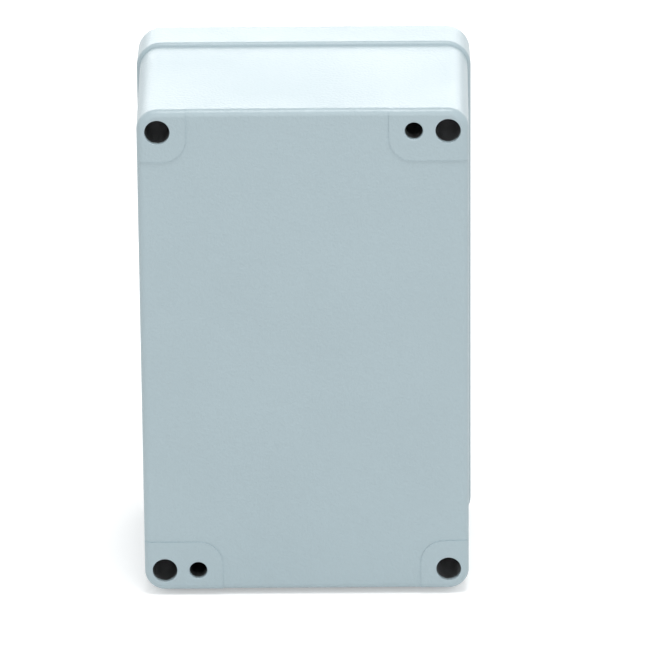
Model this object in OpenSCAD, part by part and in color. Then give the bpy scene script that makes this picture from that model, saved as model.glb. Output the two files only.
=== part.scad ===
// Die cast aluminium enclosure with a screw-down lid, standing on one short end wall.
// The casting is described lying on its back: X across, Y along its length and Z up from the
// back face to the lid. `upright()` then stands it up, so the back faces -Y and the lid faces +Y.

/* [Overall] */
// Width over the lid's lip
box_w = 80; // [70:1:110]
// Length over the lid's lip
box_l = 125; // [110:1:180]
// Depth from the back face to the lid's front face
box_d = 57; // [48:1:70]
// Radius of the vertical corners at the lid's lip
corner_r = 6; // [5:0.5:8]
// Draft of the cast walls in degrees
draft = 0.5; // [0.3:0.1:1.2]

/* [Base] */
// Depth of the base, from the back face to the parting plane
base_d = 43.5; // [36:0.5:47]
// Thickness of the side walls
wall_t = 3; // [2.5:0.1:3.6]
// Thickness of the back wall
floor_t = 3; // [2.5:0.1:4]
// Step from the lid's lip in to the base at the parting plane
lip_overhang = 0.8; // [0.3:0.1:1.2]
// Radius around the back face
back_edge_r = 1.6; // [1:0.1:2.4]
// Radius where the walls meet the floor inside
floor_r = 1.6; // [1:0.1:1.8]
// Height of the corner pads on the back face
pad_h = 0.25; // [0.15:0.05:0.5]

/* [Lid] */
// Thickness of the lid's front wall
lid_t = 3; // [2.5:0.1:4]
// Radius around the lid's front face
front_edge_r = 2; // [1:0.1:3]
// Radius under the lid's lip at the joint
lip_r = 1; // [0.5:0.1:1.6]

/* [Seal] */
// Width of the tongue that stands on the base
tongue_w = 1.4; // [1:0.1:1.6]
// Height of the tongue above the parting plane
tongue_h = 1.6; // [1.2:0.1:2.4]
// Clearance between the tongue and each side of the groove
groove_clear = 0.25; // [0.15:0.05:0.4]
// Thickness of the rib inside the groove
groove_rib_t = 1.8; // [1.2:0.1:2.5]
// Thickness of the gasket in the groove
gasket_t = 1.8; // [1.2:0.1:2.5]
// Gap left between the gasket and the groove's sides, and over the tongue
gasket_clear = 0.05; // [0.02:0.01:0.15]

/* [Lid screws] */
// Spacing of the lid screws across the width
screw_pitch_x = 68; // [58:1:98]
// Spacing of the lid screws along the length
screw_pitch_y = 112; // [98:1:168]
// Thread diameter of the lid screws
screw_d = 4; // [3:0.5:5]
// Length of the lid screws under the head
screw_len = 20; // [16:1:25]
// Diameter of the cheese head
head_d = 7; // [5.5:0.5:8.5]
// Height of the cheese head
head_h = 2.6; // [2:0.1:3.3]
// Width of the driver slot
slot_w = 1.2; // [0.8:0.1:1.6]
// Depth of the driver slot
slot_depth = 1.3; // [0.8:0.1:1.6]
// Depth of the recess that the head sits in
recess_depth = 4.5; // [3:0.5:6]
// Clearance around the head in its recess
recess_clear = 1; // [0.5:0.1:1.5]
// Clearance around the thread in the lid
shank_clear = 0.25; // [0.15:0.05:0.5]
// Clearance between a thread and its tapped hole, drawn plain
thread_clear = 0.08; // [0.05:0.01:0.1]
// Distance that a screw backs out before its ring meets the lid
screw_travel = 4.9; // [3.5:0.7:5.6]
// Section diameter of the ring that holds a screw captive
ring_section = 1.5; // [1:0.1:1.8]
// Clearance inside the ring
ring_clear = 0.05; // [0.02:0.01:0.1]
// Clearance around and beyond the ring in the lid
ring_room = 0.25; // [0.15:0.05:0.5]

/* [Corner columns] */
// Reach of a column beyond the screw axis, across the width
column_reach_x = 6.6; // [6:0.1:8]
// Reach of a column beyond the screw axis, along the length
column_reach_y = 7.3; // [6:0.1:8.5]
// Reach of a column beyond the mounting hole's axis, across the width
mount_reach_x = 5.8; // [5.6:0.1:7]
// Radius of a column's inner corner
column_r = 5.5; // [3:0.5:5.5]
// Radius where a column meets the wall
column_fillet_r = 3; // [2.4:0.1:3.4]
// Depth of the tapped hole for a lid screw
thread_depth = 12.5; // [11:0.5:16]
// Diameter of the core hole in the back of a column
core_d = 5.9; // [4:0.1:6.4]
// Depth of the core hole
core_depth = 24; // [12:1:25]
// Rounding of the rims of the holes in the back
rim_r = 0.35; // [0.1:0.05:0.5]

/* [Mounting holes] */
// Spacing of the mounting holes across the width
mount_pitch_x = 52; // [40:1:82]
// Diameter of the mounting holes
mount_d = 4.2; // [3.2:0.1:5]
// Thickness of metal under the mounting screw's head
mount_floor_t = 4; // [3:0.5:6]
// Diameter of the channel for the mounting screw's head
channel_d = 7.6; // [6:0.1:8]

/* [Inner bosses] */
// Spacing of the inner bosses across the width
boss_pitch_x = 56; // [40:1:60]
// Spacing of the inner bosses along the length
boss_pitch_y = 84; // [60:1:86]
// Diameter of an inner boss at its top
boss_d = 7.6; // [6:0.1:9]
// Height of an inner boss above the floor
boss_h = 6; // [4:0.5:10]
// Diameter of the tapped hole in an inner boss
boss_hole_d = 3.3; // [2.5:0.1:4.2]
// Depth of the tapped hole in an inner boss
boss_hole_depth = 7; // [4:0.5:8]

/* [Earth terminal] */
// Distance from the end wall's inner face to the earth screw
earth_inset = 6.5; // [6:0.1:9]
// Height of the earth boss above the floor
earth_boss_h = 8; // [6:0.5:12]
// Diameter of the earth boss at its top
earth_boss_d = 9; // [8:0.1:10]
// Thread diameter of the earth screw
earth_d = 4; // [3:0.5:5]
// Length of the earth screw under its head
earth_len = 8; // [6:0.5:9]
// Thickness of the clamp washer
clamp_t = 0.8; // [0.5:0.1:1.2]
// Width of the clamp washer
clamp_w = 9.6; // [9.2:0.1:11]
// Height of the clamp washer's upturned ears
clamp_ear_h = 2; // [1:0.1:3]
// Thickness of the spring washer
spring_t = 0.9; // [0.6:0.1:1.2]

/* [Hidden] */
$fn = 64;
cut = 1; // how far a cutter runs past the face it opens
graze = 1.001; // a blend's radius is this much over, so that it crosses its faces cleanly

cast_colour = [0.68, 0.75, 0.77];
steel_colour = [0.78, 0.78, 0.76];
seal_colour = [0.12, 0.12, 0.13];

// Base outline at the parting plane, and the sealed cavity's outline there
base_w = box_w - 2 * lip_overhang;
base_l = box_l - 2 * lip_overhang;
base_corner_r = corner_r - lip_overhang;
cavity_w = base_w - 2 * wall_t;
cavity_l = base_l - 2 * wall_t;
// The columns stand in the cavity's corners and hide its own radius there
cavity_r = column_r;

// The lid screws' corners, in the order of their node numbers
corners = [[-1, 1], [1, 1], [1, -1], [-1, -1]];
// The two opposite corners that also hold a mounting hole
function has_mount(corner) = corner[0] * corner[1] < 0;

// Inner faces of the columns: beside a screw alone, beside a mounting hole, and lengthwise
column_face_x = screw_pitch_x / 2 - column_reach_x;
mount_face_x = mount_pitch_x / 2 - mount_reach_x;
column_face_y = screw_pitch_y / 2 - column_reach_y;

// Levels, measured up from the corner pads' faces
groove_top = base_d + tongue_h + gasket_clear + gasket_t;
lid_ceiling = box_d - lid_t;
head_seat = box_d - recess_depth;
ring_low = base_d + ring_room;
ring_room_top = ring_low + ring_section + screw_travel + ring_room;
earth_boss_top = floor_t + earth_boss_h;
clamp_top = earth_boss_top + clamp_t;
spring_top = clamp_top + spring_t;

// Distances of the groove and its inner rib from the cavity's outline
groove_inner = -groove_clear;
groove_outer = tongue_w + groove_clear;
rib_inner = groove_inner - groove_rib_t;

// Flat left on the back face beyond a screw's axis, inside the rounded edge, limits the rims
back_flat = min(base_w - screw_pitch_x, base_l - screw_pitch_y) / 2
    - base_d * tan(draft) - back_edge_r;
core_rim = max(min(rim_r, back_flat - core_d / 2 - 0.1), 0);

ring_r = screw_d / 2 + ring_clear + ring_section / 2;
ring_room_d = 2 * ring_r + ring_section + 2 * ring_room;
earth_y = cavity_l / 2 - earth_inset;
earth_head_d = 1.75 * earth_d;
earth_head_h = 0.6 * earth_d;
spring_inner_r = earth_d / 2 + 0.15;
spring_outer_r = earth_head_d / 2;

// ---- General shapes ------------------------------------------------------------------------

// Stands the casting on its end wall, centred on X and Y with its lowest edge at Z = 0
module upright() {
    translate([0, 0, box_l / 2])
        rotate([90, 0, 180])
            translate([0, 0, -box_d / 2])
                children();
}

// What a rounded edge takes off a sharp one, seen from the centre of the rounding: the sharp
// edge is at `apex`, between the directions `start` and `end` of the two faces
module edge_waste(r, start, end, apex) {
    difference() {
        polygon([[0, 0], 2 * r * [cos(start), sin(start)], 2 * apex, 2 * r * [cos(end), sin(end)]]);
        rotate(start + 180) circle(r * graze);
    }
}

// Section of a cast wall from its middle out to `half` at height z_ref, with rounded edges.
// A positive slope in degrees makes it wider with height.
module wall_section(half, z0, z1, z_ref, slope, low_r, high_r) {
    t = tan(slope);
    low = [half + (z0 - z_ref) * t, z0];
    high = [half + (z1 - z_ref) * t, z1];
    low_centre = low + low_r * [t - 1 / cos(slope), 1];
    high_centre = high - high_r * [t + 1 / cos(slope), 1];
    difference() {
        polygon([[0, z0], low, high, [0, z1]]);
        if (low_r > 0)
            translate(low_centre) edge_waste(low_r, -90, -slope, low - low_centre);
        if (high_r > 0)
            translate(high_centre) edge_waste(high_r, -slope, 90, high - high_centre);
    }
}

// The same section on both sides of the middle
module full_section(half, z0, z1, z_ref, slope, low_r, high_r) {
    wall_section(half, z0, z1, z_ref, slope, low_r, high_r);
    mirror([1, 0]) wall_section(half, z0, z1, z_ref, slope, low_r, high_r);
}

// Drafted block with rounded vertical corners: the wall section swept round a rectangle.
// A full-width slab runs between the corners, and the ends and corners share its faces.
module cast_block(w, l, r, z0, z1, z_ref, slope, low_r, high_r) {
    straight_x = w / 2 - r;
    straight_y = l / 2 - r;
    translate([0, straight_y, 0])
        rotate([90, 0, 0])
            linear_extrude(2 * straight_y)
                full_section(w / 2, z0, z1, z_ref, slope, low_r, high_r);
    for (end = [0, 1])
        rotate([0, 0, 180 * end])
            translate([0, straight_y, 0]) {
                translate([-straight_x, 0, 0])
                    rotate([90, 0, 90])
                        linear_extrude(2 * straight_x)
                            wall_section(r, z0, z1, z_ref, slope, low_r, high_r);
                for (side = [0, 1])
                    translate([side == 0 ? straight_x : -straight_x, 0, 0])
                        rotate([0, 0, 90 * side])
                            rotate_extrude(angle = 90)
                                wall_section(r, z0, z1, z_ref, slope, low_r, high_r);
            }
}

// Cutter that rounds the rim of a hole of radius r at Z = 0, opening downwards
module rim_cutter(r, rim) {
    translate([0, 0, -cut]) cylinder(h = cut, r = r + rim);
    rotate_extrude()
        difference() {
            square([r + rim, rim]);
            translate([r + rim, rim]) circle(rim * graze);
        }
}

// ---- Outlines that the base, the gasket and the lid share -----------------------------------

// Corner area with a rounded inner corner, seen where X and Y are positive
module corner_plan(x0, y0, r) {
    translate([x0 + r, y0 + r]) circle(r);
    translate([x0, y0 + r]) square([box_w, box_l]);
    translate([x0 + r, y0]) square([box_w, box_l]);
}

// Puts its children in all four corners. Each child is drawn for the corner where X and Y are
// positive, the first for a corner with a mounting hole and the second for one without.
module each_corner() {
    for (corner = corners)
        mirror([corner[0] < 0 ? 1 : 0, 0])
            mirror([0, corner[1] < 0 ? 1 : 0])
                children(has_mount(corner) ? 0 : 1);
}

// Plan of a column with the fillets that join it to the walls. `grow` moves its face back
// towards the box's corner.
module column_plan(face_x, grow) {
    x0 = face_x + grow;
    y0 = column_face_y + grow;
    r = column_r - grow;
    corner_plan(x0, y0, r);
    wall_x = cavity_w / 2 + grow;
    wall_y = cavity_l / 2 + grow;
    f = column_fillet_r + grow;
    difference() {
        translate([wall_x - f, y0 - f]) square([f + wall_t, f + r]);
        translate([wall_x - f, y0 - f]) circle(f * graze);
    }
    difference() {
        translate([x0 - f, wall_y - f]) square([f + r, f + wall_t]);
        translate([x0 - f, wall_y - f]) circle(f * graze);
    }
}

// All four columns in plan
module columns_plan(grow) {
    each_corner() {
        column_plan(mount_face_x, grow);
        column_plan(column_face_x, grow);
    }
}

// The four pads in plan, one under each column
module pads_plan() {
    each_corner() {
        corner_plan(mount_face_x, column_face_y, column_r);
        corner_plan(column_face_x, column_face_y, column_r);
    }
}

// Outline of the sealed cavity, moved outwards by `grow`; the columns take its corners
module seal_plan(grow) {
    difference() {
        square([cavity_w + 2 * grow, cavity_l + 2 * grow], center = true);
        columns_plan(grow);
    }
}

// Band that follows the cavity's outline, between two distances from it
module seal_band(inner, outer) {
    difference() {
        seal_plan(outer);
        seal_plan(inner);
    }
}

// Puts its children at each lid screw
module at_screws() {
    for (corner = corners)
        translate([corner[0] * screw_pitch_x / 2, corner[1] * screw_pitch_y / 2, 0]) children();
}

// Puts its children at each mounting hole
module at_mounts() {
    for (corner = corners)
        if (has_mount(corner))
            translate([corner[0] * mount_pitch_x / 2, corner[1] * screw_pitch_y / 2, 0]) children();
}

// Puts its children at each inner boss
module at_bosses() {
    for (x = [-1, 1])
        for (y = [-1, 1])
            translate([x * boss_pitch_x / 2, y * boss_pitch_y / 2, 0]) children();
}

// ---- Base -----------------------------------------------------------------------------------

// Outside of the base with its back face at one level
module base_block(level) {
    cast_block(base_w, base_l, base_corner_r, level, base_d, base_d, draft, back_edge_r, 0);
}

// Outside of the base: the corner pads reach Z = 0, and the back between them is pad_h higher
module base_outside() {
    difference() {
        base_block(pad_h);
        translate([0, 0, -cut]) linear_extrude(base_d + 2 * cut) pads_plan();
    }
    intersection() {
        base_block(0);
        translate([0, 0, -cut]) linear_extrude(base_d + 2 * cut) pads_plan();
    }
}

// Space inside the base, with the four columns left standing
module base_cavity() {
    difference() {
        cast_block(cavity_w, cavity_l, cavity_r, floor_t, base_d + cut, base_d, draft, floor_r, 0);
        translate([0, 0, floor_t - cut])
            linear_extrude(base_d + 3 * cut - floor_t) columns_plan(0);
    }
}

// Boss on the floor, drafted like the walls
module floor_boss(top_d, h) {
    foot_d = top_d + 2 * (h + cut) * tan(draft);
    translate([0, 0, floor_t - cut]) cylinder(h = h + cut, d1 = foot_d, d2 = top_d);
}

module base() {
    color(cast_colour)
        upright()
            difference() {
                union() {
                    difference() {
                        base_outside();
                        base_cavity();
                    }
                    translate([0, 0, base_d - cut])
                        linear_extrude(cut + tongue_h) seal_band(0, tongue_w);
                    at_bosses() floor_boss(boss_d, boss_h);
                    translate([0, earth_y, 0]) floor_boss(earth_boss_d, earth_boss_h);
                }
                at_screws() {
                    translate([0, 0, base_d - thread_depth])
                        cylinder(h = thread_depth + cut, d = screw_d + 2 * thread_clear);
                    translate([0, 0, -cut]) cylinder(h = core_depth + cut, d = core_d);
                    if (core_rim > 0)
                        rim_cutter(core_d / 2, core_rim);
                }
                at_mounts() {
                    translate([0, 0, -cut]) cylinder(h = mount_floor_t + 2 * cut, d = mount_d);
                    translate([0, 0, mount_floor_t])
                        cylinder(h = base_d - mount_floor_t + cut, d = channel_d);
                    rim_cutter(mount_d / 2, rim_r);
                }
                at_bosses()
                    translate([0, 0, floor_t + boss_h - boss_hole_depth])
                        cylinder(h = boss_hole_depth + cut, d = boss_hole_d);
                translate([0, earth_y, earth_boss_top - earth_len - cut])
                    cylinder(h = earth_len + 2 * cut, d = earth_d + 2 * thread_clear);
            }
}

// ---- Lid ------------------------------------------------------------------------------------

module lid() {
    color(cast_colour)
        upright()
            difference() {
                cast_block(box_w, box_l, corner_r, base_d, box_d, base_d + lip_r, -draft,
                    lip_r, front_edge_r);
                translate([0, 0, base_d - cut])
                    linear_extrude(lid_ceiling - base_d + cut) seal_plan(rib_inner);
                translate([0, 0, base_d - cut])
                    linear_extrude(groove_top - base_d + cut) seal_band(groove_inner, groove_outer);
                at_screws() {
                    translate([0, 0, base_d - cut])
                        cylinder(h = ring_room_top - base_d + cut, d = ring_room_d);
                    translate([0, 0, base_d]) cylinder(h = box_d - base_d, d = screw_d + 2 * shank_clear);
                    translate([0, 0, head_seat])
                        cylinder(h = recess_depth + cut, d = head_d + 2 * recess_clear);
                    translate([0, 0, box_d]) mirror([0, 0, 1]) rim_cutter(head_d / 2 + recess_clear, rim_r);
                }
            }
}

// Gasket laid in the lid's groove
module gasket() {
    color(seal_colour)
        upright()
            translate([0, 0, groove_top - gasket_t])
                linear_extrude(gasket_t) seal_band(groove_inner + gasket_clear, groove_outer - gasket_clear);
}

// ---- Screws ---------------------------------------------------------------------------------

// Slotted cheese head screw, head up, with the underside of its head at Z = 0
module cheese_screw(d, length, head_d, head_h, slot_angle) {
    tip = d / 8;
    edge = head_h / 6;
    difference() {
        rotate_extrude() {
            polygon([
                [0, -length],
                [d / 2 - tip, -length],
                [d / 2, tip - length],
                [d / 2, 0],
                [0, 0]]);
            wall_section(head_d / 2, 0, head_h, 0, 0, 0, edge);
        }
        rotate([0, 0, slot_angle])
            translate([-head_d, -slot_w / 2, head_h - slot_depth])
                cube([2 * head_d, slot_w, head_h]);
    }
}

// Lid screw in one of the four corners
module lid_screw(index, slot_angle) {
    corner = corners[index];
    color(steel_colour)
        upright()
            translate([corner[0] * screw_pitch_x / 2, corner[1] * screw_pitch_y / 2, head_seat])
                cheese_screw(screw_d, screw_len, head_d, head_h, slot_angle);
}

// Ring round a lid screw's thread, under the lid, that keeps the screw captive
module screw_ring(index) {
    corner = corners[index];
    color(seal_colour)
        upright()
            translate([corner[0] * screw_pitch_x / 2, corner[1] * screw_pitch_y / 2,
                ring_low + ring_section / 2])
                rotate_extrude()
                    translate([ring_r, 0]) circle(ring_section / 2);
}

// ---- Earth terminal -------------------------------------------------------------------------

// Puts its children over the earth boss at a height above the back face
module at_earth(level) {
    upright() translate([0, earth_y, level]) children();
}

module earth_screw() {
    color(steel_colour)
        at_earth(spring_top) cheese_screw(earth_d, earth_len, earth_head_d, earth_head_h, 25);
}

// Split spring washer under the earth screw's head
module earth_spring_washer() {
    color(steel_colour)
        at_earth(clamp_top)
            rotate_extrude(angle = 348)
                translate([spring_inner_r, 0]) square([spring_outer_r - spring_inner_r, spring_t]);
}

// Square washer whose two upturned ears hold the earth wire in place
module earth_clamp_washer() {
    color(steel_colour)
        at_earth(earth_boss_top)
            difference() {
                union() {
                    translate([-clamp_w / 2, -clamp_w / 2, 0]) cube([clamp_w, clamp_w, clamp_t]);
                    for (side = [-1, 1])
                        translate([side * (clamp_w - clamp_t) / 2 - clamp_t / 2, -clamp_w / 2, 0])
                            cube([clamp_t, clamp_w, clamp_ear_h]);
                }
                translate([0, 0, -cut]) cylinder(h = clamp_t + 2 * cut, r = spring_inner_r);
            }
}

base();
lid();
gasket();
lid_screw(0, 20);  // lid_screw_1
lid_screw(1, 65);  // lid_screw_2
lid_screw(2, 140);  // lid_screw_3
lid_screw(3, 100);  // lid_screw_4
screw_ring(0);  // screw_ring_1
screw_ring(1);  // screw_ring_2
screw_ring(2);  // screw_ring_3
screw_ring(3);  // screw_ring_4
earth_screw();
earth_spring_washer();
earth_clamp_washer();
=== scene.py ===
"""Finishes, screw threads, light and camera for a die cast aluminium enclosure.

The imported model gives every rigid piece. This script dresses it, cuts real
threads on the screws, and sets up a pale studio with one camera.
"""

import logging
import math
from dataclasses import dataclass, field

import bmesh
import bpy
from mathutils import Matrix, Vector

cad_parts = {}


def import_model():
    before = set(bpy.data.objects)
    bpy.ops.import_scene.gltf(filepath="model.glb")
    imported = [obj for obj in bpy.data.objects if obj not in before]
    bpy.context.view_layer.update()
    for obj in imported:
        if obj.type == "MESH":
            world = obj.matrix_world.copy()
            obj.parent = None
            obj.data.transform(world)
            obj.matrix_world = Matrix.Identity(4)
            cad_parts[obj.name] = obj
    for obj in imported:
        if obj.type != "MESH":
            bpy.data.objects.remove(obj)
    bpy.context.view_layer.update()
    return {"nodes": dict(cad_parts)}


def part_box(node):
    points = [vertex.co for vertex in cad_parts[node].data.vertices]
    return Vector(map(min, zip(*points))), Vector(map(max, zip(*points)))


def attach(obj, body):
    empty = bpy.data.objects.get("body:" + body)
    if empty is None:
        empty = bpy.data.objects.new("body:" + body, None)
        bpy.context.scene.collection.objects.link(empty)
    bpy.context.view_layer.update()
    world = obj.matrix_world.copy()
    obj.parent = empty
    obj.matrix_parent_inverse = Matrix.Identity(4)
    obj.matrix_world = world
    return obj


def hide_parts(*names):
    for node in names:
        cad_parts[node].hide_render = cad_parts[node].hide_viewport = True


log = logging.getLogger("enclosure")

Colour = tuple[float, float, float]
MM = 0.001
# A place along Y that is well beyond the enclosure on either side
FAR_AWAY = 0.2
# Half the width of the soft edge where the spray ends
SPRAY_EDGE = 0.15 * MM
# A metric thread's depth, root flat and flank, as shares of its pitch
THREAD_DEPTH = 0.6134
THREAD_ROOT = 0.125
THREAD_FLANK = 0.625
# How far a screw's point is turned down
POINT_CHAMFER = 0.55 * MM


# ---------------------------------------------------------------- node helpers


class Graph:
    """One node tree, with short calls that add nodes and join them."""

    def __init__(self, tree: bpy.types.NodeTree) -> None:
        """Keeps the tree.

        Args:
            tree: the material's or the group's node tree.
        """
        self.tree = tree
        self.column = 0

    def add(self, kind: str, *links: object, **settings: object) -> bpy.types.Node:
        """Adds a node, sets its properties and fills its inputs in order.

        Args:
            kind: the node's type name.
            links: an output socket, a plain value, or None to leave an input alone.
            settings: properties of the node, such as operation or data_type.

        Returns:
            The new node.
        """
        node = self.tree.nodes.new(kind)
        self.column += 1
        node.location = (180 * self.column, -40 * (self.column % 7))
        for name, value in settings.items():
            setattr(node, name, value)
        for socket, value in zip(node.inputs, links):
            self.feed(socket, value)
        return node

    def feed(self, socket: bpy.types.NodeSocket, value: object) -> None:
        """Links an output to a socket, or sets the socket to a plain value.

        Args:
            socket: the input to fill.
            value: an output socket, a number, a tuple, or None for no change.
        """
        if value is None:
            return
        if isinstance(value, bpy.types.NodeSocket):
            self.tree.links.new(value, socket)
        else:
            socket.default_value = value

    def math(self, operation: str, *links: object, clamp: bool = False) -> bpy.types.NodeSocket:
        """Adds a Math node.

        Args:
            operation: such as ADD or MULTIPLY.
            links: its inputs in order.
            clamp: whether the result is held between 0 and 1.

        Returns:
            The result socket.
        """
        return self.add("ShaderNodeMath", *links, operation=operation, use_clamp=clamp).outputs[0]

    def vector(self, operation: str, *links: object) -> bpy.types.Node:
        """Adds a Vector Math node.

        Args:
            operation: such as ABSOLUTE or LENGTH.
            links: its inputs in order.

        Returns:
            The node, because a length is on its second output.
        """
        return self.add("ShaderNodeVectorMath", *links, operation=operation)

    def ramp(self, value: object, low: float, high: float) -> bpy.types.NodeSocket:
        """Turns a value into a smooth 0 to 1 step between two levels.

        Args:
            value: the socket to read.
            low: the level that gives 0.
            high: the level that gives 1.

        Returns:
            The result socket.
        """
        node = self.add("ShaderNodeMapRange", value, low, high, 0.0, 1.0)
        node.interpolation_type = "SMOOTHSTEP"
        return node.outputs[0]

    def mix(self, factor: object, first: object, second: object) -> bpy.types.NodeSocket:
        """Mixes two colours.

        Args:
            factor: 0 for the first and 1 for the second.
            first: a colour socket or an RGBA tuple.
            second: a colour socket or an RGBA tuple.

        Returns:
            The colour socket.
        """
        node = self.add("ShaderNodeMix", data_type="RGBA")
        self.feed(node.inputs["Factor"], factor)
        self.feed(node.inputs[6], first)
        self.feed(node.inputs[7], second)
        return node.outputs[2]

    def blend(self, factor: object, first: object, second: object) -> bpy.types.NodeSocket:
        """Mixes two numbers.

        Args:
            factor: 0 for the first and 1 for the second.
            first: a socket or a number.
            second: a socket or a number.

        Returns:
            The number socket.
        """
        node = self.add("ShaderNodeMix", data_type="FLOAT")
        self.feed(node.inputs[0], factor)
        self.feed(node.inputs[2], first)
        self.feed(node.inputs[3], second)
        return node.outputs[0]

    def noise(self, place: object, scale: object, detail: float, rough: float = 0.5) -> bpy.types.NodeSocket:
        """Adds a 3-D noise.

        Args:
            place: the coordinates.
            scale: how many features to the metre.
            detail: octaves.
            rough: how strong the fine octaves are.

        Returns:
            The value, about 0.5 on average.
        """
        node = self.add("ShaderNodeTexNoise")
        self.feed(node.inputs["Vector"], place)
        self.feed(node.inputs["Scale"], scale)
        self.feed(node.inputs["Detail"], detail)
        self.feed(node.inputs["Roughness"], rough)
        return node.outputs["Fac"]


def grey(value: float) -> tuple[float, float, float, float]:
    """Returns an RGBA grey."""
    return (value, value, value, 1.0)


def rgba(colour: Colour) -> tuple[float, float, float, float]:
    """Returns a colour with full alpha."""
    return (*colour, 1.0)


def scaled(colour: Colour, factor: float) -> tuple[float, float, float, float]:
    """Returns a colour times a factor, with full alpha."""
    return (colour[0] * factor, colour[1] * factor, colour[2] * factor, 1.0)


# ---------------------------------------------------------------- shared effects


class Effects:
    """Shader node groups that more than one finish uses, each built once."""

    def __init__(self) -> None:
        """Builds the groups."""
        self.coat_grain = self._coat_grain()
        self.cast_grain = self._cast_grain()
        self.inside = self._inside()
        self.specks = self._specks()
        self.turning = self._turning()

    @staticmethod
    def _group(
        name: str, inputs: dict[str, tuple[str, object]], outputs: list[str]
    ) -> tuple[Graph, dict[str, bpy.types.NodeSocket], bpy.types.Node]:
        """Makes an empty group with named sockets.

        Args:
            name: the group's name.
            inputs: socket name to its type and default.
            outputs: names of the number outputs.

        Returns:
            The graph, the input sockets by name, and the output node.
        """
        tree = bpy.data.node_groups.new(name, "ShaderNodeTree")
        for socket_name, (kind, default) in inputs.items():
            socket = tree.interface.new_socket(socket_name, in_out="INPUT", socket_type=kind)
            if default is not None:
                socket.default_value = default
        for socket_name in outputs:
            tree.interface.new_socket(socket_name, in_out="OUTPUT", socket_type="NodeSocketFloat")
        graph = Graph(tree)
        source = graph.add("NodeGroupInput")
        result = graph.add("NodeGroupOutput")
        return graph, {s.name: s for s in source.outputs if s.name}, result

    def _coat_grain(self) -> bpy.types.NodeTree:
        """Builds the powder coat's texture: melted pebbles over a slow orange peel.

        Returns:
            The group, with a Height and a Tone output.
        """
        graph, has, result = self._group(
            "Coat_grain",
            {
                "Vector": ("NodeSocketVector", None),
                "Pebbles per metre": ("NodeSocketFloat", 1500.0),
                "Peel per metre": ("NodeSocketFloat", 420.0),
                "Pebble share": ("NodeSocketFloat", 0.55),
            },
            ["Height", "Tone"],
        )
        pebble = graph.noise(has["Vector"], has["Pebbles per metre"], 2.0, 0.45)
        peel = graph.noise(has["Vector"], has["Peel per metre"], 2.0, 0.5)
        cloud = graph.noise(has["Vector"], 38.0, 3.0, 0.5)
        dimple = graph.ramp(pebble, 0.33, 0.67)
        graph.feed(result.inputs["Height"], graph.blend(has["Pebble share"], peel, dimple))
        mottled = graph.blend(0.35, cloud, pebble)
        graph.feed(result.inputs["Tone"], graph.ramp(mottled, 0.3, 0.7))
        return graph.tree

    def _cast_grain(self) -> bpy.types.NodeTree:
        """Builds bare die cast metal: flow streaks, fine pitting and a dull cloudiness.

        Returns:
            The group, with Height, Streak and Cloud outputs.
        """
        graph, has, result = self._group(
            "Cast_grain",
            {
                "Vector": ("NodeSocketVector", None),
                "Pits per metre": ("NodeSocketFloat", 2600.0),
                "Streaks per metre": ("NodeSocketFloat", 160.0),
            },
            ["Height", "Streak", "Cloud"],
        )
        stretched = graph.vector("MULTIPLY", has["Vector"], (1.0, 0.35, 0.35)).outputs[0]
        streak = graph.noise(stretched, has["Streaks per metre"], 4.0, 0.6)
        pits = graph.noise(has["Vector"], has["Pits per metre"], 3.0, 0.6)
        cloud = graph.noise(has["Vector"], 60.0, 4.0, 0.55)
        graph.feed(result.inputs["Height"], graph.blend(0.6, streak, pits))
        graph.feed(result.inputs["Streak"], graph.ramp(streak, 0.35, 0.68))
        graph.feed(result.inputs["Cloud"], graph.ramp(cloud, 0.35, 0.65))
        return graph.tree

    def _inside(self) -> bpy.types.NodeTree:
        """Builds the mask of the space that the spray doesn't reach, as a rounded block.

        Returns:
            The group, with an Inside output that is 1 where the metal is bare.
        """
        graph, has, result = self._group(
            "Out_of_the_spray",
            {
                "Vector": ("NodeSocketVector", None),
                "Half width": ("NodeSocketFloat", 0.038),
                "Half height": ("NodeSocketFloat", 0.0605),
                "Middle height": ("NodeSocketFloat", 0.0625),
                "Corner": ("NodeSocketFloat", 0.0042),
                "Back": ("NodeSocketFloat", -0.027),
                "Front": ("NodeSocketFloat", 0.2),
            },
            ["Inside"],
        )
        place = graph.add("ShaderNodeSeparateXYZ", has["Vector"])
        ragged = graph.noise(has["Vector"], 700.0, 2.0)
        wobble = graph.math("MULTIPLY", graph.math("SUBTRACT", ragged, 0.5), 0.7 * MM)
        half = graph.math("SUBTRACT", has["Half width"], has["Corner"])
        across = graph.math("SUBTRACT", graph.math("ABSOLUTE", place.outputs[0]), half)
        level = graph.math("ABSOLUTE", graph.math("SUBTRACT", place.outputs[2], has["Middle height"]))
        upward = graph.math("SUBTRACT", level, graph.math("SUBTRACT", has["Half height"], has["Corner"]))
        square = graph.math(
            "ADD",
            graph.math("POWER", graph.math("MAXIMUM", across, 0.0), 2.0),
            graph.math("POWER", graph.math("MAXIMUM", upward, 0.0), 2.0),
        )
        beyond = graph.math("SUBTRACT", graph.math("SQRT", square), has["Corner"])
        beyond = graph.math("MAXIMUM", beyond, graph.math("SUBTRACT", has["Back"], place.outputs[1]))
        beyond = graph.math("MAXIMUM", beyond, graph.math("SUBTRACT", place.outputs[1], has["Front"]))
        beyond = graph.math("ADD", beyond, wobble)
        outside = graph.ramp(beyond, -SPRAY_EDGE, SPRAY_EDGE)
        graph.feed(result.inputs["Inside"], graph.math("SUBTRACT", 1.0, outside))
        return graph.tree

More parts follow.
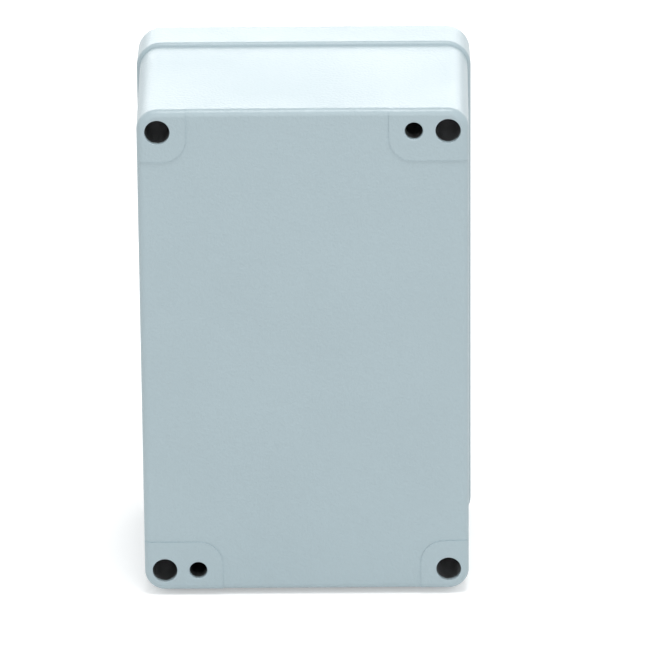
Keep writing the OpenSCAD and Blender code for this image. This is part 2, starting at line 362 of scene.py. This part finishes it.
    def _specks(self) -> bpy.types.NodeTree:
        """Builds a scatter of small dots, such as dust caught in a coat.

        Returns:
            The group, with a Specks output that is 1 on a dot.
        """
        graph, has, result = self._group(
            "Specks",
            {
                "Vector": ("NodeSocketVector", None),
                "Dots per metre": ("NodeSocketFloat", 150.0),
                "Radius": ("NodeSocketFloat", 0.03),
                "Share kept": ("NodeSocketFloat", 0.1),
            },
            ["Specks"],
        )
        cells = graph.add("ShaderNodeTexVoronoi", feature="F1")
        graph.feed(cells.inputs["Vector"], has["Vector"])
        graph.feed(cells.inputs["Scale"], has["Dots per metre"])
        chance = graph.add("ShaderNodeSeparateColor", cells.outputs["Color"])
        kept = graph.math("LESS_THAN", chance.outputs[0], has["Share kept"])
        dot = graph.math("LESS_THAN", cells.outputs["Distance"], has["Radius"])
        graph.feed(result.inputs["Specks"], graph.math("MULTIPLY", kept, dot))
        return graph.tree

    def _turning(self) -> bpy.types.NodeTree:
        """Builds the fine rings that a lathe leaves round an axis along Y.

        Returns:
            The group, with a Height and a Tone output.
        """
        graph, has, result = self._group(
            "Turning_marks",
            {"Vector": ("NodeSocketVector", None), "Rings per metre": ("NodeSocketFloat", 9000.0)},
            ["Height", "Tone"],
        )
        flat = graph.vector("MULTIPLY", has["Vector"], (1.0, 0.0, 1.0)).outputs[0]
        radius = graph.vector("LENGTH", flat).outputs[1]
        along = graph.add("ShaderNodeSeparateXYZ", has["Vector"]).outputs[1]
        wander = graph.noise(has["Vector"], 900.0, 2.0)
        swept = graph.math("ADD", graph.math("ADD", radius, along), graph.math("MULTIPLY", wander, 0.00012))
        turns = graph.math("MULTIPLY", swept, has["Rings per metre"])
        wave = graph.math("SINE", turns)
        graph.feed(result.inputs["Height"], graph.math("MULTIPLY_ADD", wave, 0.5, 0.5))
        graph.feed(result.inputs["Tone"], graph.ramp(graph.noise(has["Vector"], 1500.0, 3.0), 0.35, 0.65))
        return graph.tree


def blank_material(name: str) -> tuple[bpy.types.Material, Graph, bpy.types.Node]:
    """Makes a material that holds one Principled shader.

    Args:
        name: the material's name.

    Returns:
        The material, its graph and the shader node.
    """
    material = bpy.data.materials.new(name)
    material.use_nodes = True
    tree = material.node_tree
    tree.nodes.clear()
    graph = Graph(tree)
    shader = graph.add("ShaderNodeBsdfPrincipled")
    output = graph.add("ShaderNodeOutputMaterial")
    tree.links.new(shader.outputs[0], output.inputs["Surface"])
    return material, graph, shader


def place_group(graph: Graph, group: bpy.types.NodeTree, **inputs: object) -> bpy.types.Node:
    """Puts a shared group into a material.

    Args:
        graph: the material's graph.
        group: the group to place.
        inputs: values or sockets by input name, with spaces written as underscores.

    Returns:
        The group node.
    """
    node = graph.add("ShaderNodeGroup")
    node.node_tree = group
    for name, value in inputs.items():
        graph.feed(node.inputs[name.replace("_", " ")], value)
    return node


# ---------------------------------------------------------------- finishes


@dataclass(frozen=True)
class SprayedCasting:
    """Die cast aluminium, powder coated outside and bare where the spray doesn't reach."""

    name: str
    back: float
    front: float
    coat: Colour = (0.395, 0.492, 0.530)
    coat_rough: float = 0.36
    metal: Colour = (0.50, 0.51, 0.52)
    metal_rough: float = 0.46
    coat_relief: float = 0.000045
    metal_relief: float = 0.00003
    screw_holes: tuple[tuple[float, float], ...] = ()
    hole_radius: float = 0.0
    hole_floor: float = 0.0

    def build(self, effects: Effects) -> bpy.types.Material:
        """Builds the material.

        Args:
            effects: the shared node groups.

        Returns:
            The material.
        """
        material, graph, shader = blank_material(self.name)
        place = graph.add("ShaderNodeTexCoord").outputs["Object"]
        bare = self._bare(graph, effects, place)
        coat = place_group(graph, effects.coat_grain, Vector=place)
        cast = place_group(graph, effects.cast_grain, Vector=place)
        dots = place_group(graph, effects.specks, Vector=place, Share_kept=0.06)
        painted = graph.mix(coat.outputs["Tone"], scaled(self.coat, 0.985), scaled(self.coat, 1.015))
        dust = graph.math("MULTIPLY", dots.outputs["Specks"], 0.45)
        painted = graph.mix(dust, painted, scaled(self.coat, 0.45))
        metal = graph.mix(cast.outputs["Cloud"], scaled(self.metal, 0.82), scaled(self.metal, 1.12))
        streak = graph.math("MULTIPLY", cast.outputs["Streak"], 0.35)
        metal = graph.mix(streak, metal, scaled(self.metal, 0.62))
        graph.feed(shader.inputs["Base Color"], graph.mix(bare, painted, metal))
        graph.feed(shader.inputs["Metallic"], bare)
        coat_rough = graph.blend(coat.outputs["Tone"], self.coat_rough - 0.04, self.coat_rough + 0.04)
        metal_rough = graph.blend(cast.outputs["Cloud"], self.metal_rough - 0.08, self.metal_rough + 0.1)
        graph.feed(shader.inputs["Roughness"], graph.blend(bare, coat_rough, metal_rough))
        coat_height = graph.math("MULTIPLY", coat.outputs["Height"], self.coat_relief / MM)
        metal_height = graph.math("MULTIPLY", cast.outputs["Height"], self.metal_relief / MM)
        bump = graph.add("ShaderNodeBump")
        bump.inputs["Strength"].default_value = 1.0
        bump.inputs["Distance"].default_value = MM
        graph.feed(bump.inputs["Height"], graph.blend(bare, coat_height, metal_height))
        graph.feed(shader.inputs["Normal"], bump.outputs[0])
        return material

    def _bare(self, graph: Graph, effects: Effects, place: bpy.types.NodeSocket) -> bpy.types.NodeSocket:
        """Masks the bare metal, leaving the coat on the walls of the screw recesses.

        Args:
            graph: the material's graph.
            effects: the shared node groups.
            place: the coordinates.

        Returns:
            The mask, 1 on bare metal.
        """
        mask = place_group(graph, effects.inside, Vector=place, Back=self.back, Front=self.front)
        inside = mask.outputs["Inside"]
        parts = graph.add("ShaderNodeSeparateXYZ", place)
        for x, z in self.screw_holes:
            flat = graph.add("ShaderNodeCombineXYZ", parts.outputs[0], 0.0, parts.outputs[2])
            reach = graph.vector("DISTANCE", flat.outputs[0], (x, 0.0, z)).outputs[1]
            near = graph.math("LESS_THAN", reach, self.hole_radius)
            high = graph.math("GREATER_THAN", parts.outputs[1], self.hole_floor)
            inside = graph.math("SUBTRACT", inside, graph.math("MULTIPLY", near, high), clamp=True)
        return inside


@dataclass(frozen=True)
class TurnedSteel:
    """Stainless steel straight from the lathe."""

    name: str
    colour: Colour = (0.56, 0.55, 0.53)
    rough: float = 0.27
    relief: float = 0.000004

    def build(self, effects: Effects) -> bpy.types.Material:
        """Builds the material.

        Args:
            effects: the shared node groups.

        Returns:
            The material.
        """
        material, graph, shader = blank_material(self.name)
        place = graph.add("ShaderNodeTexCoord").outputs["Object"]
        marks = place_group(graph, effects.turning, Vector=place)
        tone = graph.mix(marks.outputs["Tone"], scaled(self.colour, 0.9), scaled(self.colour, 1.08))
        graph.feed(shader.inputs["Base Color"], tone)
        shader.inputs["Metallic"].default_value = 1.0
        rough = graph.blend(marks.outputs["Tone"], self.rough - 0.06, self.rough + 0.08)
        graph.feed(shader.inputs["Roughness"], rough)
        bump = graph.add("ShaderNodeBump")
        bump.inputs["Distance"].default_value = self.relief
        graph.feed(bump.inputs["Height"], marks.outputs["Height"])
        graph.feed(shader.inputs["Normal"], bump.outputs[0])
        return material


@dataclass(frozen=True)
class MouldedRubber:
    """Black rubber, matt, with a faint bloom."""

    name: str
    colour: Colour = (0.018, 0.018, 0.019)
    rough: float = 0.62

    def build(self, effects: Effects) -> bpy.types.Material:
        """Builds the material.

        Args:
            effects: the shared node groups.

        Returns:
            The material.
        """
        material, graph, shader = blank_material(self.name)
        place = graph.add("ShaderNodeTexCoord").outputs["Object"]
        skin = place_group(
            graph, effects.cast_grain, Vector=place, Pits_per_metre=4200.0, Streaks_per_metre=240.0
        )
        bloom = graph.math("MULTIPLY", skin.outputs["Cloud"], 0.5)
        graph.feed(shader.inputs["Base Color"], graph.mix(bloom, rgba(self.colour), scaled(self.colour, 2.0)))
        rough = graph.blend(skin.outputs["Cloud"], self.rough - 0.06, self.rough + 0.1)
        graph.feed(shader.inputs["Roughness"], rough)
        bump = graph.add("ShaderNodeBump")
        bump.inputs["Distance"].default_value = 0.00002
        graph.feed(bump.inputs["Height"], skin.outputs["Height"])
        graph.feed(shader.inputs["Normal"], bump.outputs[0])
        return material


@dataclass(frozen=True)
class PaperSweep:
    """The white paper that the enclosure stands on."""

    name: str
    colour: Colour = (0.85, 0.85, 0.85)
    lift: float = 0.3

    def build(self) -> bpy.types.Material:
        """Builds the material, a little lighter to the camera and in reflections.

        Returns:
            The material.
        """
        material, graph, shader = blank_material(self.name)
        path = graph.add("ShaderNodeLightPath")
        seen = graph.math("MAXIMUM", path.outputs["Is Camera Ray"], path.outputs["Is Glossy Ray"])
        seen = graph.math("MAXIMUM", seen, path.outputs["Is Transmission Ray"])
        graph.feed(shader.inputs["Emission Color"], rgba((1.0, 1.0, 1.0)))
        graph.feed(shader.inputs["Emission Strength"], graph.math("MULTIPLY", seen, self.lift))
        place = graph.add("ShaderNodeTexCoord").outputs["Object"]
        fibre = graph.noise(place, 260.0, 3.0)
        sheet = graph.mix(fibre, scaled(self.colour, 0.995), scaled(self.colour, 1.005))
        graph.feed(shader.inputs["Base Color"], sheet)
        shader.inputs["Roughness"].default_value = 0.9
        shader.inputs["Specular IOR Level"].default_value = 0.2
        return material


# ---------------------------------------------------------------- meshes


def new_piece(name: str, shape: bmesh.types.BMesh, origin: Vector) -> bpy.types.Object:
    """Turns a bmesh into an object with its origin where it is asked for.

    Args:
        name: the object's name.
        shape: the mesh, in the shared frame; it is freed here.
        origin: where the object's own origin goes.

    Returns:
        The object.
    """
    bmesh.ops.recalc_face_normals(shape, faces=shape.faces)
    shape.transform(Matrix.Translation(-origin))
    mesh = bpy.data.meshes.new(name)
    shape.to_mesh(mesh)
    shape.free()
    piece = bpy.data.objects.new(name, mesh)
    piece.location = origin
    bpy.context.scene.collection.objects.link(piece)
    return piece


def smooth_by_angle(piece: bpy.types.Object, degrees: float) -> None:
    """Shades a piece smooth, with hard edges above an angle.

    Args:
        piece: the object to shade.
        degrees: the largest angle that stays smooth.
    """
    mesh = piece.data
    mesh.polygons.foreach_set("use_smooth", [True] * len(mesh.polygons))
    mesh.set_sharp_from_angle(angle=math.radians(degrees))


@dataclass
class ThreadedScrew:
    """A slotted cheese head screw with a cut thread, in place of its plain CAD node."""

    node: str
    body: str
    slot_angle: float
    slot: str
    shank_d: float = 4.0 * MM
    head_h: float = 2.6 * MM
    slot_w: float = 1.2 * MM
    slot_depth: float = 1.3 * MM
    thread_pitch: float = 0.7 * MM
    thread_len: float = 13.0 * MM
    edge_round: float = 0.35 * MM
    milled_at: float = 20.0
    around: int = 64
    per_turn: int = 10
    low: Vector = field(init=False)
    high: Vector = field(init=False)

    def __post_init__(self) -> None:
        """Reads the piece's place from its CAD node."""
        self.low, self.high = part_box(self.node)

    def _profile(self) -> list[tuple[float, float]]:
        """Draws the head's outline, from under the head to its top.

        Returns:
            Radius and height of each point.
        """
        head_r = (self.high.x - self.low.x) / 2
        seat = self.high.y - self.head_h
        points = [(self.shank_d / 2, seat), (head_r - 0.1 * MM, seat), (head_r, seat + 0.1 * MM)]
        steps = 6
        for step in range(steps + 1):
            turn = math.pi / 2 * step / steps
            points.append(
                (
                    head_r - self.edge_round * (1 - math.cos(turn)),
                    self.high.y - self.edge_round * (1 - math.sin(turn)),
                )
            )
        return points

    def _thread_radius(self, turn: float, height: float) -> float:
        """Gives the thread's radius at a turn and a height.

        Args:
            turn: the angle round the axis in radians.
            height: the place along Y.

        Returns:
            The radius in metres.
        """
        crest = self.shank_d / 2
        depth = THREAD_DEPTH * self.thread_pitch
        phase = ((height - self.low.y) / self.thread_pitch + turn / (2 * math.pi)) % 1.0
        ridge = 1 - abs(2 * phase - 1)
        cut = min(max((ridge - THREAD_ROOT) / THREAD_FLANK, 0.0), 1.0)
        radius = crest - depth * (1 - cut)
        point = crest - POINT_CHAMFER + (height - self.low.y)
        radius = min(radius, point)
        top = self.low.y + self.thread_len
        runout = min(max((height - top) / self.thread_pitch + 1, 0.0), 1.0)
        return radius + (crest - radius) * runout

    def _lathe(self) -> bmesh.types.BMesh:
        """Builds the closed body: the threaded shank, the plain shank and the head.

        Returns:
            The mesh in the shared frame, without its slot.
        """
        shape = bmesh.new()
        axis = (self.low + self.high) / 2
        step = self.thread_pitch / self.per_turn
        heights = [self.low.y + step * i for i in range(int(self.thread_len / step) + 2)]
        turns = [2 * math.pi * k / self.around for k in range(self.around)]
        rings = [[(self._thread_radius(turn, h), h) for turn in turns] for h in heights]
        rings += [[(r, h)] * self.around for r, h in self._profile()]
        made = []
        for ring in rings:
            made.append(
                [
                    shape.verts.new((axis.x + r * math.cos(turn), h, axis.z + r * math.sin(turn)))
                    for turn, (r, h) in zip(turns, ring)
                ]
            )
        for below, above in zip(made, made[1:]):
            for k in range(self.around):
                after = (k + 1) % self.around
                shape.faces.new((below[k], below[after], above[after], above[k]))
        shape.faces.new(made[0])
        shape.faces.new(made[-1])
        return shape

    def _cutter(self, origin: Vector) -> bpy.types.Object:
        """Builds the block that mills the slot, at the angle that all screws are milled at.

        Args:
            origin: the screw's own origin.

        Returns:
            The cutter, which the caller removes.
        """
        shape = bmesh.new()
        bmesh.ops.create_cube(shape, size=1.0)
        shape.transform(Matrix.Diagonal((3 * self.head_h + 4 * MM, 2 * self.slot_depth, self.slot_w, 1.0)))
        shape.transform(Matrix.Rotation(-math.radians(self.milled_at), 4, "Y"))
        top = Vector((origin.x, self.high.y, origin.z))
        shape.transform(Matrix.Translation(top))
        return new_piece(self.node + "_slot_cutter", shape, origin)

    def build(self, steel: bpy.types.Material) -> bpy.types.Object:
        """Makes the screw, puts it on its body and hides the plain node.

        Args:
            steel: the material it gets.

        Returns:
            The screw.
        """
        origin = (self.low + self.high) / 2
        piece = new_piece(self.node + "_threaded", self._lathe(), origin)
        cutter = self._cutter(origin)
        mill = piece.modifiers.new("slot", "BOOLEAN")
        mill.operation = "DIFFERENCE"
        mill.solver = "EXACT"
        mill.object = cutter
        bpy.context.view_layer.update()
        cut = bpy.data.meshes.new_from_object(piece.evaluated_get(bpy.context.evaluated_depsgraph_get()))
        piece.modifiers.clear()
        cut.transform(Matrix.Rotation(math.radians(self.slot_angle + self.milled_at), 4, "Y"))
        piece.data = cut
        bpy.data.objects.remove(cutter)
        smooth_by_angle(piece, 28.0)
        piece.data.materials.clear()
        piece.data.materials.append(steel)
        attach(piece, self.body)
        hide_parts(self.node)
        return piece


# ---------------------------------------------------------------- sub-assemblies


@dataclass
class CastShells:
    """The base and the lid, with their gasket."""

    nodes: dict[str, bpy.types.Object]
    effects: Effects
    screw_x: float = 34.0 * MM
    screw_low: float = 6.5 * MM
    screw_high: float = 118.5 * MM
    recess_r: float = 4.7 * MM
    recess_floor: float = 23.9 * MM
    bare_from: float = 27.3 * MM

    def dress(self) -> None:
        """Gives the castings and the gasket their finishes."""
        levels = (self.screw_low, self.screw_high)
        corners = tuple((side * self.screw_x, z) for side in (-1, 1) for z in levels)
        base = SprayedCasting("Base_coat", back=-self.bare_from, front=FAR_AWAY)
        lid = SprayedCasting(
            "Lid_coat",
            back=-FAR_AWAY,
            front=self.bare_from,
            screw_holes=corners,
            hole_radius=self.recess_r,
            hole_floor=self.recess_floor,
        )
        self._assign("base", base.build(self.effects))
        self._assign("lid", lid.build(self.effects))
        self._assign("gasket", MouldedRubber("Gasket_rubber").build(self.effects))

    def _assign(self, name: str, material: bpy.types.Material) -> None:
        """Puts a material on a carried over node.

        Args:
            name: the node.
            material: its finish.
        """
        node = self.nodes[name]
        node.data.materials.clear()
        node.data.materials.append(material)
        log.info("%s: %d faces, %s", name, len(node.data.polygons), material.name)


@dataclass
class LidScrews:
    """The four captive lid screws and the rings that hold them."""

    nodes: dict[str, bpy.types.Object]
    effects: Effects
    slot_angles: tuple[float, ...] = (20.0, 65.0, 140.0, 100.0)

    def build(self) -> None:
        """Makes the screws and dresses the rings."""
        steel = TurnedSteel("Screw_steel").build(self.effects)
        rubber = MouldedRubber("Ring_rubber", colour=(0.022, 0.021, 0.02), rough=0.5).build(self.effects)
        for index, angle in enumerate(self.slot_angles, start=1):
            screw = ThreadedScrew(f"lid_screw_{index}", f"screw_{index}", angle, "screw_steel")
            piece = screw.build(steel)
            log.info("%s: %d faces", piece.name, len(piece.data.polygons))
            ring = self.nodes[f"screw_ring_{index}"]
            ring.data.materials.clear()
            ring.data.materials.append(rubber)


@dataclass
class EarthTerminal:
    """The earth screw with its spring washer and clamp washer, inside the base."""

    nodes: dict[str, bpy.types.Object]
    effects: Effects
    slot_angle: float = 25.0
    thread_len: float = 7.4 * MM

    def build(self) -> None:
        """Makes the screw and dresses its washers."""
        steel = TurnedSteel("Earth_steel", colour=(0.62, 0.61, 0.58), rough=0.24).build(self.effects)
        screw = ThreadedScrew(
            "earth_screw", "base", self.slot_angle, "earth_steel", thread_len=self.thread_len
        )
        piece = screw.build(steel)
        log.info("%s: %d faces", piece.name, len(piece.data.polygons))
        for name in ("earth_spring_washer", "earth_clamp_washer"):
            self.nodes[name].data.materials.clear()
            self.nodes[name].data.materials.append(steel)


# ---------------------------------------------------------------- studio


@dataclass(frozen=True)
class Softbox:
    """A rectangular lamp that faces the middle of the enclosure."""

    name: str
    at: tuple[float, float, float]
    size: tuple[float, float]
    watts: float

    def hang(self) -> None:
        """Makes the lamp and turns it to the enclosure."""
        data = bpy.data.lights.new(self.name, "AREA")
        data.shape = "RECTANGLE"
        data.size, data.size_y = self.size
        data.energy = self.watts
        lamp = bpy.data.objects.new(self.name, data)
        lamp.location = self.at
        aim = Vector((0.0, 0.0, 0.06)) - Vector(self.at)
        lamp.rotation_euler = aim.to_track_quat("-Z", "Y").to_euler()
        bpy.context.scene.collection.objects.link(lamp)


@dataclass
class Studio:
    """Floor, lamps and world."""

    floor_half: float = 3.0
    ambient: float = 0.60
    lamps: tuple[Softbox, ...] = (
        Softbox("Overhead_softbox", (0.06, -0.16, 0.85), (0.30, 0.30), 3.0),
        Softbox("Back_softbox", (0.0, 1.5, 0.62), (2.4, 0.5), 14.0),
        Softbox("Front_fill", (0.1, -1.4, 0.38), (1.2, 1.2), 5.4),
    )

    def build(self) -> None:
        """Makes the studio."""
        self._floor()
        self._world()
        for lamp in self.lamps:
            lamp.hang()

    def _floor(self) -> None:
        """Lays a large sheet of paper under the enclosure."""
        shape = bmesh.new()
        bmesh.ops.create_grid(shape, x_segments=1, y_segments=1, size=self.floor_half)
        floor = new_piece("paper_sweep", shape, Vector((0, 0, 0)))
        floor.data.materials.append(PaperSweep("Paper").build())

    def _world(self) -> None:
        """Lights from all round, and shows plain white to the camera and in reflections."""
        world = bpy.data.worlds.new("Studio_air")
        bpy.context.scene.world = world
        world.use_nodes = True
        world.node_tree.nodes.clear()
        graph = Graph(world.node_tree)
        path = graph.add("ShaderNodeLightPath")
        seen = graph.math("MAXIMUM", path.outputs["Is Camera Ray"], path.outputs["Is Glossy Ray"])
        seen = graph.math("MAXIMUM", seen, path.outputs["Is Transmission Ray"])
        light = graph.add("ShaderNodeBackground", rgba((1.0, 1.0, 1.0)), self.ambient)
        white = graph.add("ShaderNodeBackground", grey(1.0), 1.0)
        both = graph.add("ShaderNodeMixShader", seen, light.outputs[0], white.outputs[0])
        graph.add("ShaderNodeOutputWorld", both.outputs[0])


@dataclass
class ViewCamera:
    """A long lens a little above the enclosure, looking at its back face."""

    pitch: float = 22.22
    yaw: float = -0.32
    roll: float = 0.48
    distance: float = 1.58
    right: float = -6.62 * MM
    up: float = -5.0 * MM
    frames_per_lens: float = 6680 / 665
    target: Vector = field(default_factory=lambda: Vector((0.0, -28.5 * MM, 62.5 * MM)))

    def build(self) -> None:
        """Places the camera and makes it the scene's own."""
        pitch, roll = math.radians(self.pitch), math.radians(self.roll)
        right = Vector((1, 0, 0))
        up = Vector((0, math.sin(pitch), math.cos(pitch)))
        ahead = Vector((0, math.cos(pitch), -math.sin(pitch)))
        place = -right * self.right - up * self.up - ahead * self.distance
        turned_right = right * math.cos(roll) - up * math.sin(roll)
        turned_up = right * math.sin(roll) + up * math.cos(roll)
        spin = Matrix.Rotation(-math.radians(self.yaw), 3, "Z")
        axes = Matrix((spin @ turned_right, spin @ turned_up, spin @ -ahead)).transposed()
        data = bpy.data.cameras.new("View")
        data.sensor_width = 36.0
        data.lens = 36.0 * self.frames_per_lens
        data.clip_start, data.clip_end = 0.05, 50.0
        camera = bpy.data.objects.new("View", data)
        camera.matrix_world = Matrix.Translation(self.target + spin @ place) @ axes.to_4x4()
        bpy.context.scene.collection.objects.link(camera)
        bpy.context.scene.camera = camera


def main() -> None:
    """Builds everything in order."""
    logging.basicConfig(level=logging.INFO, format="%(name)s: %(message)s")
    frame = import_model()
    bpy.context.scene.view_settings.view_transform = "Standard"
    effects = Effects()
    CastShells(frame["nodes"], effects).dress()
    LidScrews(frame["nodes"], effects).build()
    EarthTerminal(frame["nodes"], effects).build()
    Studio().build()
    ViewCamera().build()


if __name__ == "__main__":
    main()
